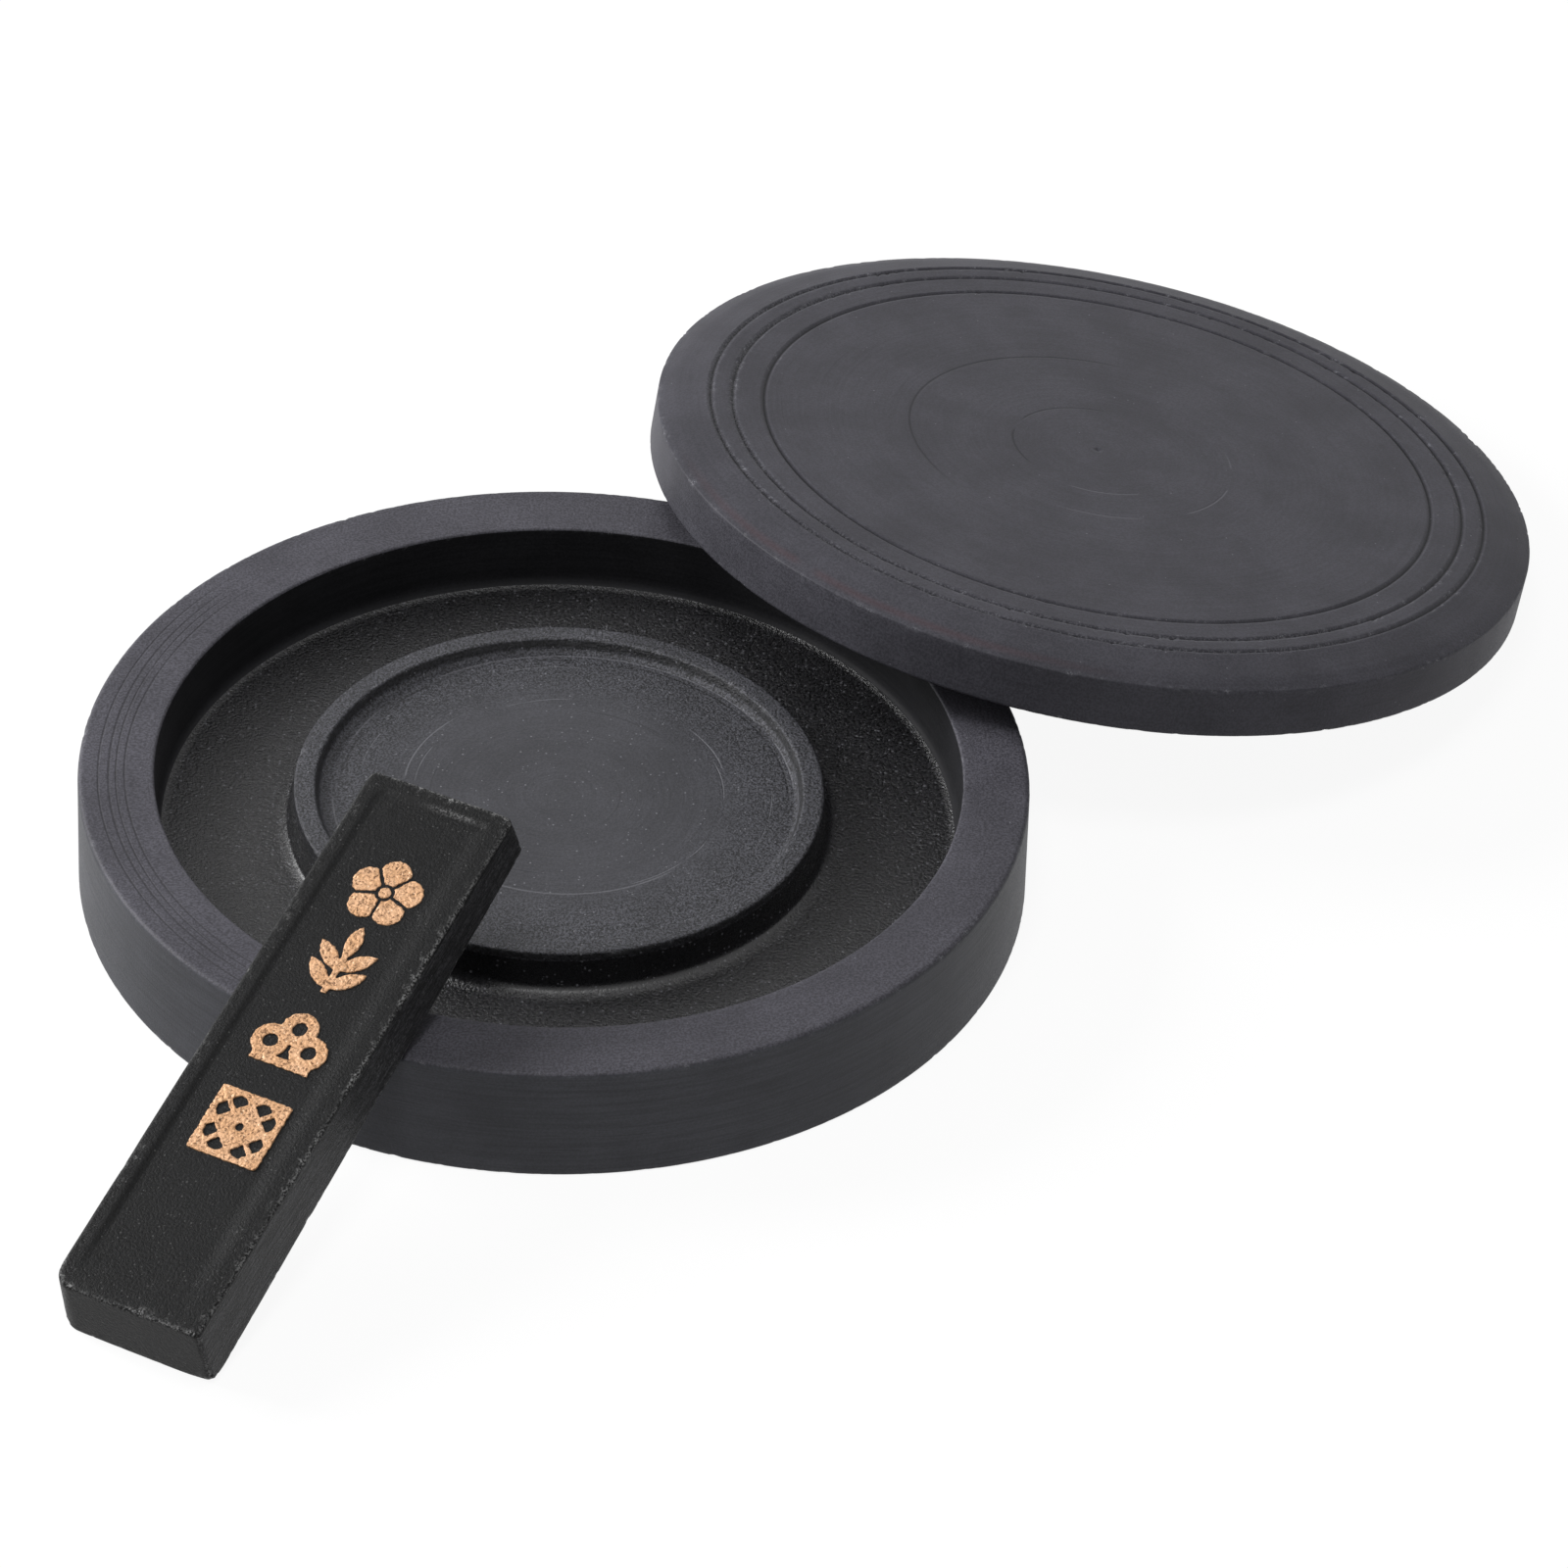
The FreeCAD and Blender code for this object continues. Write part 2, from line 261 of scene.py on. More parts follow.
def turn(piece, corners, axis_x, steps):
    """Add a turned surface to a piece. Each corner of its outline is (radius, height, rounding)."""
    bm = new_piece()
    line = [bm.verts.new((axis_x + radius, 0, height)) for radius, height, _ in corners]
    for start, end in zip(line, line[1:]):
        bm.edges.new((start, end))
    for vert, (_, _, rounding) in zip(line, corners):
        if rounding:
            before, after = [edge.other_vert(vert).co - vert.co for edge in vert.link_edges]
            reach = rounding / math.tan(before.angle(after) / 2)
            bmesh.ops.bevel(bm, geom=[vert], offset=reach, offset_type="OFFSET", segments=ROUND_SEGMENTS,
                            profile=0.5, affect="VERTICES", material=-1, clamp_overlap=False)
    for edge in bm.edges[:]:
        run = edge.calc_length()
        if run > 3 * EDGE_ZONE:
            ends, inner = split_run(edge, EDGE_ZONE)
            space_out(bm, ends, FINE_SPACING)
            space_out(bm, inner, WIDE_SPACING)
        elif run > SHORT_RUN:
            space_out(bm, [edge], MIDDLE_SPACING)
    axis = Vector((axis_x, 0, 0))
    sector = 2 * math.pi / SECTORS
    bmesh.ops.spin(bm, geom=bm.verts[:] + bm.edges[:], cent=axis, axis=UP, angle=sector,
                   steps=steps // SECTORS, use_merge=False, use_duplicate=False)
    bmesh.ops.spin(bm, geom=bm.verts[:] + bm.edges[:] + bm.faces[:], cent=axis, axis=UP,
                   angle=2 * math.pi - sector, steps=SECTORS - 1, use_merge=False, use_duplicate=True)
    bmesh.ops.remove_doubles(bm, verts=bm.verts[:], dist=MERGE_REACH)
    place = bm.verts.layers.float_vector["place"]
    for vert in bm.verts:
        vert[place] = (vert.co - axis) / MM
    made = make_mesh("turned", bm)
    piece.from_mesh(made)
    bpy.data.meshes.remove(made)


def chip_edges(bm, edges, depth):
    """Nibble chips out of round edges. Each edge is (radius, height, axis x, reach, share chipped)."""
    bmesh.ops.recalc_face_normals(bm, faces=bm.faces[:])
    bm.normal_update()
    wear_and_highlight = bm.verts.layers.float["wear_and_highlight"]
    for vert in bm.verts:
        bite = 0
        for radius, height, axis_x, reach, amount in edges:
            outward = math.hypot(vert.co.x - axis_x, vert.co.y) - radius
            away = math.hypot(outward, vert.co.z - height)
            if away < reach:
                edge_seed = radius * 100 + height * 900
                patch = smooth(-0.15, 0.5, ragged(vert.co, PATCH_SIZE, edge_seed))
                nick = smooth(0.12, 0.6, ragged(vert.co, NICK_SIZE, seed=5.1))
                bite = max(bite, amount * nick * (1 - away / reach) * (0.3 + 0.7 * patch))
        vert[wear_and_highlight] = min(1, 2.4 * bite)
        vert.co -= vert.normal * bite * depth


# Node helpers: lengths in a material are millimetres on the piece, and depths of bump are metres.

# The Mix node's sockets for colours: the factor and the two colours, and the result
MIX_INPUTS = (0, 6, 7)
MIX_RESULT = 2


def feed(tree, socket, value):
    """Link a socket to another, or set its value."""
    if isinstance(value, bpy.types.NodeSocket):
        tree.links.new(value, socket)
    elif value is not None:
        socket.default_value = value


def add(tree, kind, inputs=None, **settings):
    """A node with its settings and inputs."""
    node = tree.nodes.new(kind)
    for name, value in settings.items():
        setattr(node, name, value)
    for name, value in (inputs or {}).items():
        feed(tree, node.inputs[name], value)
    return node


def maths(tree, operation, *values):
    """The result of a Math node."""
    return add(tree, "ShaderNodeMath", dict(enumerate(values)), operation=operation).outputs[0]


def product(tree, first, *others):
    """All the values multiplied."""
    for value in others:
        first = maths(tree, "MULTIPLY", first, value)
    return first


def most(tree, first, *others):
    """The largest of the values."""
    for value in others:
        first = maths(tree, "MAXIMUM", first, value)
    return first


def without(tree, value):
    """What is left of 1 when the value is taken off."""
    return maths(tree, "SUBTRACT", 1.0, value)


def ramp(tree, value, low, high, to_low=0.0, to_high=1.0):
    """A value taken smoothly from one range to another and held at its ends."""
    inputs = {"Value": value, "From Min": low, "From Max": high, "To Min": to_low, "To Max": to_high}
    return add(tree, "ShaderNodeMapRange", inputs, interpolation_type="SMOOTHSTEP").outputs["Result"]


def blend(tree, factor, first, second, kind="MIX"):
    """Two colours mixed."""
    inputs = dict(zip(MIX_INPUTS, (factor, first, second)))
    node = add(tree, "ShaderNodeMix", inputs, data_type="RGBA", blend_type=kind, clamp_factor=True)
    return node.outputs[MIX_RESULT]


def clouds(tree, vector, scale, detail=2.0, roughness=0.5):
    """Noise between 0 and 1."""
    inputs = {"Vector": vector, "Scale": scale, "Detail": detail, "Roughness": roughness}
    return add(tree, "ShaderNodeTexNoise", inputs).outputs["Fac"]


def split(tree, vector):
    """The three parts of a vector."""
    return add(tree, "ShaderNodeSeparateXYZ", {"Vector": vector}).outputs


def join(tree, x, y, z):
    """A vector from its three parts."""
    return add(tree, "ShaderNodeCombineXYZ", {"X": x, "Y": y, "Z": z}).outputs[0]


def from_axis(tree, x, y):
    """Distance from the upright axis."""
    return maths(tree, "SQRT", maths(tree, "ADD", product(tree, x, x), product(tree, y, y)))


def grey(value):
    """An opaque colour from a value or three."""
    parts = tuple(value) if hasattr(value, "__len__") else (value,) * 3
    return (*parts, 1.0)


def new_group(name, inputs, outputs):
    """An empty node group. An input is a number with its default, or a vector where the default is None."""
    tree = bpy.data.node_groups.new(name, "ShaderNodeTree")
    for label, default in inputs.items():
        kind = "NodeSocketVector" if default is None else "NodeSocketFloat"
        socket = tree.interface.new_socket(name=label, in_out="INPUT", socket_type=kind)
        if default is not None:
            socket.default_value = default
    for label in outputs:
        tree.interface.new_socket(name=label, in_out="OUTPUT", socket_type="NodeSocketFloat")
    return tree, tree.nodes.new("NodeGroupInput").outputs, tree.nodes.new("NodeGroupOutput").inputs


def use(tree, name, place, inputs):
    """The outputs of a node group that is placed in a material."""
    group = bpy.data.node_groups[name]
    return add(tree, "ShaderNodeGroup", {"Place": place} | inputs, node_tree=group).outputs


def build_turning_lines():
    """Fine rings left by the lathe tool, each running part of the way round."""
    tree, given, out = new_group(
        "Turning lines", {"Place": None, "Spacing": 0.5, "Arc": 30.0, "Lines": 0.6}, ("Height", "Dark"))
    x, y, z = split(tree, given["Place"])
    along = maths(tree, "DIVIDE", maths(tree, "ADD", from_axis(tree, x, y), z), given["Spacing"])
    around_x = maths(tree, "DIVIDE", x, given["Arc"])
    around_y = maths(tree, "DIVIDE", y, given["Arc"])
    streaks = clouds(tree, join(tree, along, around_x, around_y), 1.0, 3.0, 0.6)
    full_dark = maths(tree, "ADD", given["Lines"], 0.07)
    feed(tree, out["Height"], streaks)
    feed(tree, out["Dark"], ramp(tree, streaks, given["Lines"], full_dark))


def build_stone_grain():
    """Broad mottling and fine grain."""
    tree, given, out = new_group(
        "Stone grain", {"Place": None, "Grain size": 0.3}, ("Mottle", "Height"))
    grains_per_mm = maths(tree, "DIVIDE", 1.0, given["Grain size"])
    feed(tree, out["Mottle"], clouds(tree, given["Place"], 0.09, 4.0, 0.6))
    feed(tree, out["Height"], clouds(tree, given["Place"], grains_per_mm, 3.0, 0.65))


def build_bright_specks():
    """Tiny bright dots, one in some of the cells."""
    tree, given, out = new_group(
        "Bright specks", {"Place": None, "Cell": 1.2, "Dot": 0.12, "Share": 0.2}, ("Mask",))
    inputs = {"Vector": given["Place"], "Scale": maths(tree, "DIVIDE", 1.0, given["Cell"]),
              "Randomness": 1.0}
    cells = add(tree, "ShaderNodeTexVoronoi", inputs, feature="F1", distance="EUCLIDEAN")
    pick = split(tree, cells.outputs["Color"])
    chosen = maths(tree, "LESS_THAN", pick[0], given["Share"])
    size = maths(tree, "DIVIDE", product(tree, given["Dot"], pick[1]), given["Cell"])
    dot = ramp(tree, cells.outputs["Distance"], size, product(tree, size, 0.5))
    feed(tree, out["Mask"], product(tree, chosen, dot))


def build_worn_edges():
    """Where the edge is chipped or rubbed, and on the stick where a highlight is painted, broken up by
    grain.
    """
    tree, given, out = new_group("Worn edges and highlight", {"Place": None, "Grain size": 0.25}, ("Bare",))
    wear_and_highlight = add(tree, "ShaderNodeAttribute", attribute_name="wear_and_highlight").outputs["Fac"]
    grains = clouds(tree, given["Place"], maths(tree, "DIVIDE", 1.0, given["Grain size"]), 2.0)
    feed(tree, out["Bare"], product(tree, wear_and_highlight, ramp(tree, grains, 0.42, 0.62)))


def build_arc_line():
    """A thin round line about a centre, drawn along parts of its circle.

    The share says how much of the circle is drawn, and the run how long the parts are. Only the side
    toward one way is drawn, and the reach says how far round that side goes: 1 is all round."""
    tree, given, out = new_group(
        "Arc line", {"Place": None, "Centre": None, "Radius": 20.0, "Width": 0.15, "Share": 0.5,
                     "Run": 12.0, "Toward": None, "Reach": 1.0}, ("Mask",))
    offset = add(tree, "ShaderNodeVectorMath", {0: given["Place"], 1: given["Centre"]},
                 operation="SUBTRACT").outputs[0]
    x, y, _ = split(tree, offset)
    radius = from_axis(tree, x, y)
    run_x = maths(tree, "DIVIDE", x, given["Run"])
    run_y = maths(tree, "DIVIDE", y, given["Run"])
    runs = clouds(tree, join(tree, run_x, run_y, given["Radius"]), 1.0, 1.0)
    wander = product(tree, maths(tree, "SUBTRACT", runs, 0.5), 0.5)
    beside = maths(tree, "SUBTRACT", radius, given["Radius"])
    away = maths(tree, "ABSOLUTE", maths(tree, "SUBTRACT", beside, wander))
    line = ramp(tree, away, given["Width"], 0.0)
    threshold = maths(tree, "SUBTRACT", 0.75, product(tree, given["Share"], 0.5))
    drawn = ramp(tree, runs, threshold, maths(tree, "ADD", threshold, 0.08))
    along = add(tree, "ShaderNodeVectorMath", {0: offset, 1: given["Toward"]},
                operation="DOT_PRODUCT").outputs["Value"]
    side = maths(tree, "ADD", maths(tree, "DIVIDE", along, radius), given["Reach"])
    feed(tree, out["Mask"], product(tree, line, ramp(tree, side, 0.0, 0.25), drawn))


def build_drag_lines():
    """Rough lines along the stick, where it slid out of its mould."""
    tree, given, out = new_group("Drag lines", {"Place": None, "Spacing": 0.4}, ("Height",))
    x, y, z = split(tree, given["Place"])
    runs_per_mm = 0.24
    across_y = maths(tree, "DIVIDE", y, given["Spacing"])
    across_z = maths(tree, "DIVIDE", z, given["Spacing"])
    stretched = join(tree, product(tree, x, runs_per_mm), across_y, across_z)
    feed(tree, out["Height"], clouds(tree, stretched, 1.0, 4.0, 0.68))


def empty_tree(owner):
    """The cleared node tree of a material or a world."""
    owner.use_nodes = True
    owner.node_tree.nodes.clear()
    return owner.node_tree


def new_material(name):
    """An empty material, its tree, and each point's place on the piece."""
    material = bpy.data.materials.new(name)
    tree = empty_tree(material)
    return material, tree, add(tree, "ShaderNodeAttribute", attribute_name="place").outputs["Vector"]


def bump(tree, height, distance, strength=1.0, normal=None):
    """A Bump node's normal. The distance is in metres."""
    inputs = {"Height": height, "Distance": distance, "Strength": strength}
    if normal:
        inputs["Normal"] = normal
    return add(tree, "ShaderNodeBump", inputs).outputs[0]


def surface(tree, base, roughness, normal, specular, metallic=0.0):
    """The shader and the material's output."""
    inputs = {"Base Color": base, "Roughness": roughness, "Normal": normal, "Specular IOR Level": specular,
              "Metallic": metallic}
    shader = add(tree, "ShaderNodeBsdfPrincipled", inputs)
    add(tree, "ShaderNodeOutputMaterial", {"Surface": shader.outputs[0]})


def arc(radius, width=0.15, centre=(0, 0, 0), share=0.5, run=12.0, toward=(0, 0, 0), reach=1.0):
    """How one thin round line is drawn, in millimetres on the piece."""
    return {"Radius": radius, "Width": width, "Centre": centre, "Share": share, "Run": run,
            "Toward": toward, "Reach": reach}


def draw_arcs(tree, place, arcs):
    """Where any of the thin round lines runs."""
    drawn = 0.0
    for line in arcs:
        drawn = most(tree, drawn, use(tree, "Arc line", place, line)["Mask"])
    return drawn


# Stone

def coarse_share(tree, place, look):
    """How coarse the grain is: full on ground stone, and fine on the walls and where the disc is rubbed."""
    x, y, height = split(tree, place)
    level = look["smooth_above"]
    on_floor = ramp(tree, height, level + 0.1, level + 0.8, 1.0, 0.12)
    rubbed = look["smooth_inside"]
    unrubbed = ramp(tree, from_axis(tree, x, y), rubbed - 6, rubbed + 6, 0.25, 1.0)
    return product(tree, on_floor, unrubbed)


def stone_tone(tree, place, look, grain, lines, coarse, tool_lines):
    """How light the stone is at each point, as a share of its colour, with painted shade in a band of
    heights.
    """
    height = split(tree, place)[2]
    mottle = ramp(tree, grain["Mottle"], 0.32, 0.68, 0.86, 1.12)
    grains = maths(tree, "SUBTRACT", ramp(tree, grain["Height"], 0.38, 0.62), 0.5)
    grained = maths(tree, "MULTIPLY_ADD", product(tree, grains, coarse), 2 * look["grain_tone"], 1.0)
    streak = ramp(tree, lines["Height"], 0.3, 0.7, 1 - look["line_tone"], 1 + look["line_tone"])
    between_lines = without(tree, product(tree, lines["Dark"], look["line_dark"]))
    crevice = add(tree, "ShaderNodeAttribute", attribute_name="crevice").outputs["Fac"]
    cuts = most(tree, product(tree, crevice, look["groove_dark"]),
                product(tree, tool_lines, look["tool_line_dark"]))
    level = look["smooth_above"]
    on_walls = ramp(tree, height, level + 0.1, level + 1.6, 1.0, look["wall_tone"])
    # Painted shade: the stone within a band of heights is darkened, which on the disc is the wall from the
    # lip down.
    low, high = look["recess_shade_band"]
    band = product(tree, ramp(tree, height, low, low + 0.5), ramp(tree, height, high, high - 0.3))
    beside_band = without(tree, product(tree, band, look["recess_shade_strength"]))
    return product(tree, mottle, grained, streak, between_lines, without(tree, cuts), on_walls,
                   beside_band)


def bare_share(tree, place, look, grain, scratches):
    """How much of the bare stone's light colour shows: chips, scratches, frayed grooves and specks, which on
    the moat are partly painted glints.
    """
    chips_and_highlight = use(tree, "Worn edges and highlight", place, {"Grain size": look["chip_grain"]})["Bare"]
    crumbs = ramp(tree, grain["Height"], 0.50, 0.60)
    frayed = product(tree, draw_arcs(tree, place, look["frayed"]), crumbs)
    specks = use(tree, "Bright specks", place, {"Cell": look["speck_cell"], "Dot": look["speck"],
                                                "Share": look["speck_share"]})["Mask"]
    return most(tree, chips_and_highlight, product(tree, scratches, look["scratch_light"]),
                product(tree, frayed, look["frayed_light"]), product(tree, specks, look["speck_and_glint_light"]))


def stone_material(name, base, finish, look):
    """Turned stone. The look says what sets this part of it apart from plain stone."""
    look = PLAIN_STONE | look
    material, tree, place = new_material(name)
    grain = use(tree, "Stone grain", place, {"Grain size": look["grain_size"]})
    lines = use(tree, "Turning lines", place, {"Spacing": look["line_spacing"],
                                               "Arc": look["line_arc"], "Lines": look["line_start"]})
    coarse = coarse_share(tree, place, look)
    scratches = draw_arcs(tree, place, look["scratches"])
    tool_lines = draw_arcs(tree, place, look["tool_lines"])
    tone = stone_tone(tree, place, look, grain, lines, coarse, tool_lines)
    bare = bare_share(tree, place, look, grain, scratches)
    stain = product(tree, draw_arcs(tree, place, look["stains"]), look["stain_share"])
    colour = blend(tree, 1.0, grey(base), join(tree, tone, tone, tone), "MULTIPLY")
    colour = blend(tree, bare, colour, grey(finish.bare_stone))
    colour = blend(tree, stain, colour, grey(finish.stain))
    unevenness = ramp(tree, grain["Height"], 0.3, 0.7, -0.06, 0.08)
    roughness = maths(tree, "ADD", look["roughness"], unevenness)
    grain_depth = look["grain_depth"] * finish.grain * 2
    normal = bump(tree, lines["Height"], look["line_depth"])
    normal = bump(tree, product(tree, grain["Height"], coarse), grain_depth, normal=normal)
    normal = bump(tree, most(tree, scratches, tool_lines), -look["scratch_depth"], normal=normal)
    surface(tree, colour, roughness, normal, look["specular"])
    return material


# How grainy, lined, worn and shiny plain stone is, and where it holds painted shade. Levels above it and
# negative radii have no effect.
PLAIN_STONE = dict(
    grain_size=0.34, grain_tone=0.35, grain_depth=0.05 * MM,
    smooth_above=100.0, smooth_inside=-10.0, wall_tone=0.55,
    recess_shade_band=(100.0, 101.0), recess_shade_strength=0.75,
    line_spacing=0.55, line_arc=26.0, line_start=0.62, line_tone=0.05, line_dark=0.35, line_depth=0.03 * MM,
    groove_dark=0.8, tool_lines=[], tool_line_dark=0.5,
    scratches=[], scratch_light=0.3, scratch_depth=0.05 * MM,
    frayed=[], frayed_light=0.35, chip_grain=0.22,
    speck=0.16, speck_cell=1.3, speck_share=0.3, speck_and_glint_light=0.8,
    stains=[], stain_share=0.28,
    roughness=0.52, specular=0.2,
)


def dish_materials(sizes, finish):
    """Rim and underside, outer wall, moat, the lip with the grinding disc, and the wall round the moat."""
    rim_lines = ((61.3, 0.22), (59.9, 0.28), (58.9, 0.2), (57.7, 0.24))
    at_left = dict(toward=(-0.97, -0.2, 0), reach=-0.55, share=0.85, run=30.0)
    rim = dict(line_dark=0.3, line_start=0.66,
               tool_lines=[arc(radius, width, **at_left) for radius, width in rim_lines])
    wall = dict(grain_tone=0.14, line_spacing=0.4, line_tone=0.18, line_arc=18.0, speck_and_glint_light=0.3)
    moat = dict(
        grain_size=0.42, grain_tone=0.8, grain_depth=0.24 * MM, line_tone=0.04, line_dark=0.1,
        # The moat's bright specks are partly real specks and partly painted glints for its sparkle.
        line_depth=0.02 * MM, speck=0.24, speck_cell=0.5, speck_and_glint_light=0.7,
        smooth_above=sizes.moat_level / MM, roughness=0.28, specular=0.50,
    )
    disc = dict(
        grain_tone=0.85, grain_depth=0.24 * MM, line_depth=0.04 * MM, line_tone=0.1, scratch_light=0.45,
        speck=0.2, speck_cell=0.6, smooth_inside=24.0, roughness=0.42, specular=0.28,
        # Painted shade on the wall from the lip down to the sunk disc
        recess_shade_band=(sizes.disc_level / MM + 0.35, sizes.lip_level / MM - 0.05),
        scratches=[
            arc(22.0, 0.22, centre=(0.8, 0.8, 0), share=0.55, run=16.0),
            arc(21.0, 0.16, centre=(1.2, 0.4, 0), share=0.5, run=10.0),
            arc(31.2, 0.24, centre=(0.6, 0, 0), share=0.6, run=14.0),
            arc(28.0, 0.14, centre=(0.6, 0.6, 0), share=0.3, run=8.0),
        ],
        tool_lines=[arc(30.4, 0.3, centre=(0.6, 0, 0), share=0.7, run=16.0, toward=(0, 1, 0), reach=0.1)],
    )
    bore = dict(grain_depth=0.015 * MM, grain_tone=0.15, line_spacing=0.7, line_tone=0.15, speck_and_glint_light=0.1,
                specular=0.08)
    parts = (("rim", finish.stone, rim), ("wall", finish.wall, wall), ("moat", finish.moat, moat),
             ("disc", finish.disc_stone, disc), ("bore", finish.bore, bore))
    return [stone_material("Turned stone " + name, base, finish, look) for name, base, look in parts]


# The order of the dish's materials
RIM, WALL, MOAT, DISC, BORE = range(5)


def dish_part(spot, sizes):
    """Which of the dish's materials a face has, by its middle."""
    from_hollow = math.hypot(spot.x - sizes.hollow_offset, spot.y)
    if spot.z > sizes.height - 0.25 * MM or spot.z < 0.3 * MM:
        return RIM
    if math.hypot(spot.x, spot.y) > sizes.rim_radius - 0.6 * MM:
        return WALL
    if from_hollow < sizes.lip_radius + 0.2 * MM and spot.z > sizes.disc_level - 0.5 * MM:
        return DISC
    if from_hollow > sizes.mouth_radius - 0.5 * MM:
        return BORE
    return MOAT


class INKSTONE_OT_turn_dish(Operator):
    """Turn the stone dish with its moat, raised lip and sunk grinding disc"""
    bl_idname = "inkstone.turn_dish"
    bl_label = "Turn the Dish"

    def execute(self, context):
        sizes = context.scene.ink_dish
        finish = context.scene.ink_finish
        top = sizes.height
        offset = sizes.hollow_offset
        foot_radius = sizes.rim_radius + sizes.foot_flare
        outer_seam = sizes.mouth_radius + 3.0 * MM
        inner_seam = sizes.mouth_radius + 1.5 * MM
        plateau_foot = sizes.lip_radius + 0.6 * MM
        disc_foot = sizes.disc_radius - 0.8 * MM
        bm = new_piece()
        turn(bm, [
            (0, 0, 0),
            (foot_radius, 0, 0.5 * MM),
            (sizes.rim_radius, top, 0.7 * MM),
            (outer_seam, top, 0),
        ], 0, finish.around)
        turn(bm, [
            (inner_seam, top, 0),
            (sizes.mouth_radius, top, 0.4 * MM),
            (sizes.mouth_radius, sizes.moat_level, 1.6 * MM),
            (plateau_foot, sizes.moat_level, 2.0 * MM),
            (sizes.lip_radius, sizes.lip_level, 0.4 * MM),
            (sizes.disc_radius, sizes.lip_level, 0.4 * MM),
            (disc_foot, sizes.disc_level, 0.8 * MM),
            (0, sizes.disc_level, 0),
        ], offset, finish.around)
        bmesh.ops.bridge_loops(bm, edges=[edge for edge in bm.edges if edge.is_boundary])
        chip_edges(bm, [
            (sizes.rim_radius, top, 0, 1.0 * MM, 0.7),
            (sizes.mouth_radius, top, offset, 0.8 * MM, 0.5),
            (sizes.lip_radius, sizes.lip_level, offset, 0.8 * MM, 0.6),
            (sizes.disc_radius, sizes.lip_level, offset, 0.8 * MM, 0.7),
            (foot_radius, 0, 0, 1.0 * MM, 0.6),
        ], finish.chip_depth)
        for face in bm.faces:
            face.material_index = dish_part(face.calc_center_median(), sizes)
        materials = dish_materials(sizes, finish)
        finish_piece(bm, "turned_dish", "dish", materials, "ink_dish")
        return {"FINISHED"}


# How far in from the lid's side its two inner grooves lie
INNER_GROOVES = (10.5 * MM, 15.1 * MM)


def lid_look(groove_rings):
    """Fine scratches and tool lines on the lid's top, and two grooves whose edges are frayed."""
    to_front = (0, -1, 0)
    to_back = (-0.26, 0.97, 0)
    return dict(
        grain_tone=0.2, line_tone=0.06, line_dark=0.2, line_start=0.66, specular=0.14, scratch_light=0.25,
        scratches=[
            arc(13.5, 0.25, centre=(0, 0.6, 0), share=0.5, run=9.0, toward=to_front, reach=-0.3),
            arc(20.0, 0.25, centre=(-0.4, 0.2, 0), share=0.7, run=10.0, toward=to_front, reach=-0.4),
        ],
        tool_lines=[
            arc(28.0, 0.35, centre=(0.5, 0, 0), share=0.95, run=40.0, toward=to_back, reach=-0.3),
            arc(41.0, 0.35, share=0.95, run=30.0, toward=(-0.5, 0.87, 0), reach=-0.93),
            arc(12.5, 0.3, share=0.8, run=12.0, toward=to_back, reach=-0.3),
        ],
        stains=[arc(62.7, 1.0, share=1.0, run=14.0, toward=(-0.98, -0.17, 0), reach=-0.75)],
        frayed=[arc(ring / MM, 0.9, share=0.85, run=9.0, toward=(-1, 0.1, 0), reach=0.1)
                for ring in groove_rings[:2]],
    )


class INKSTONE_OT_turn_lid(Operator):
    """Turn the stone lid with its grooves and its boss, and lean it on the dish"""
    bl_idname = "inkstone.turn_lid"
    bl_label = "Turn the Lid"

    def execute(self, context):
        sizes = context.scene.ink_lid
        finish = context.scene.ink_finish
        top = sizes.thickness
        half_groove = sizes.groove_width / 2
        groove_rings = [sizes.radius - inset for inset in (sizes.border_width, *INNER_GROOVES)]
        corners = [
            (0, -sizes.boss_height, 0),
            (sizes.boss_radius, -sizes.boss_height, 0.5 * MM),
            (sizes.boss_radius, 0, 0.4 * MM),
            (sizes.radius, 0, 0.5 * MM),
            (sizes.radius, sizes.side_height, 0.3 * MM),
            (sizes.radius - 2.2 * MM, top - 1.05 * MM, 9.0 * MM),
        ]
        for ring in groove_rings:
            corners += [(ring + half_groove, top, 0), (ring, top - sizes.groove_depth, 0),
                        (ring - half_groove, top, 0)]
        centre_dimple = [(0.6 * MM, top, 0), (0, top - 0.3 * MM, 0)]
        bm = new_piece()
        turn(bm, corners + centre_dimple, 0, finish.around)
        leaned = Matrix.Rotation(sizes.bearing, 4, "Z") @ Matrix.Rotation(sizes.lean, 4, "Y")
        matrix = lay_on(bm, leaned, "dish_lid")
        crevice = bm.verts.layers.float["crevice"]
        for vert in bm.verts:
            radius = math.hypot(vert.co.x, vert.co.y)
            near = min(abs(radius - ring) for ring in groove_rings)
            if vert.co.z > top - 0.6 * MM and near < half_groove:
                vert[crevice] = smooth(0.05 * MM, 0.3 * MM, top - vert.co.z)
        edges = [
            (sizes.radius, sizes.side_height, 0, 0.9 * MM, 0.8),
            (sizes.radius, 0, 0, 0.9 * MM, 0.7),
            (sizes.boss_radius, -sizes.boss_height, 0, 0.9 * MM, 0.6),
        ]
        for ring, amount in zip(groove_rings, (0.8, 0.8, 0.3)):
            for radius in (ring + half_groove, ring - half_groove):
                edges.append((radius, top, 0, 0.55 * MM, amount))
        chip_edges(bm, edges, finish.chip_depth)
        move(bm, matrix)
        # The lid's colour carries painted shade.
        stone = stone_material("Turned stone lid", finish.shaded_lid_stone, finish, lid_look(groove_rings))
        finish_piece(bm, "turned_lid", "lid", [stone], "dish_lid")
        return {"FINISHED"}


# The stick

